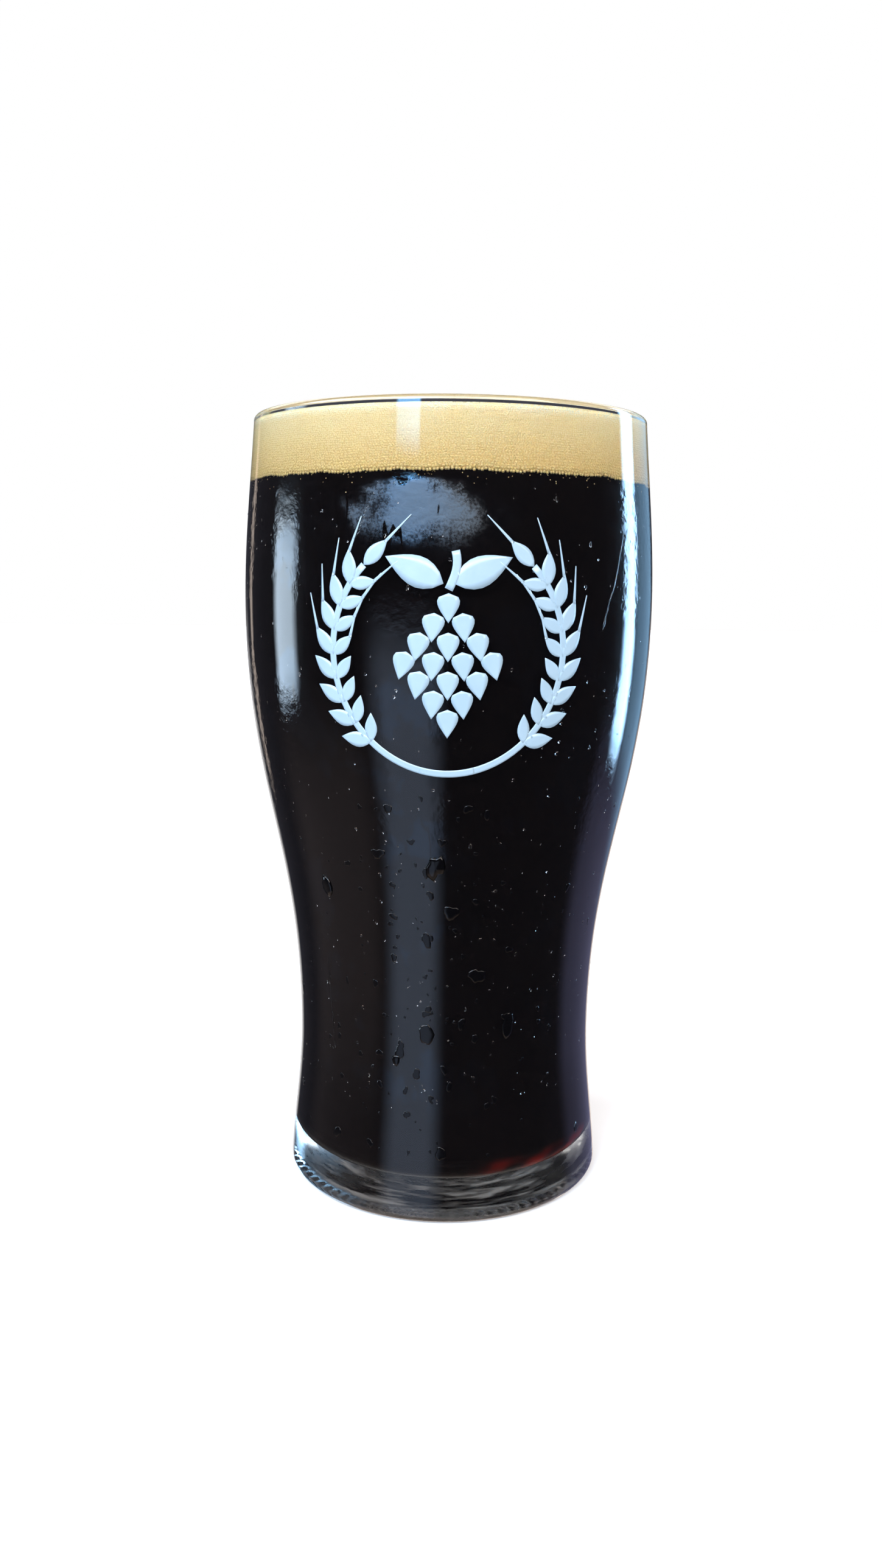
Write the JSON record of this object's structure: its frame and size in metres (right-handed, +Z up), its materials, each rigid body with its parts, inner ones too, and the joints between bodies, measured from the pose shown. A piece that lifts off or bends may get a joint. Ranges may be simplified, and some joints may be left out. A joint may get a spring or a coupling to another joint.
{
  "type": "pint of stout",
  "caption": "Tulip pint glass with a heavy clear base, filled with near-black stout under a tan foam head.",
  "frame": {"origin": "centre of the ring that the glass stands on", "axes": "+Z up along the glass's axis, -Y towards the viewer of the picture"},
  "size_m": [0.0804, 0.0804, 0.1521],
  "materials": {
    "clear_glass": "polished clear glass",
    "stout": "near-black liquid with a ruby edge",
    "foam": "fine tan beer foam"
  },
  "bodies": {
    "root": {"glass": "clear_glass", "stout": "stout", "foam": "foam"}
  },
  "joints": []
}
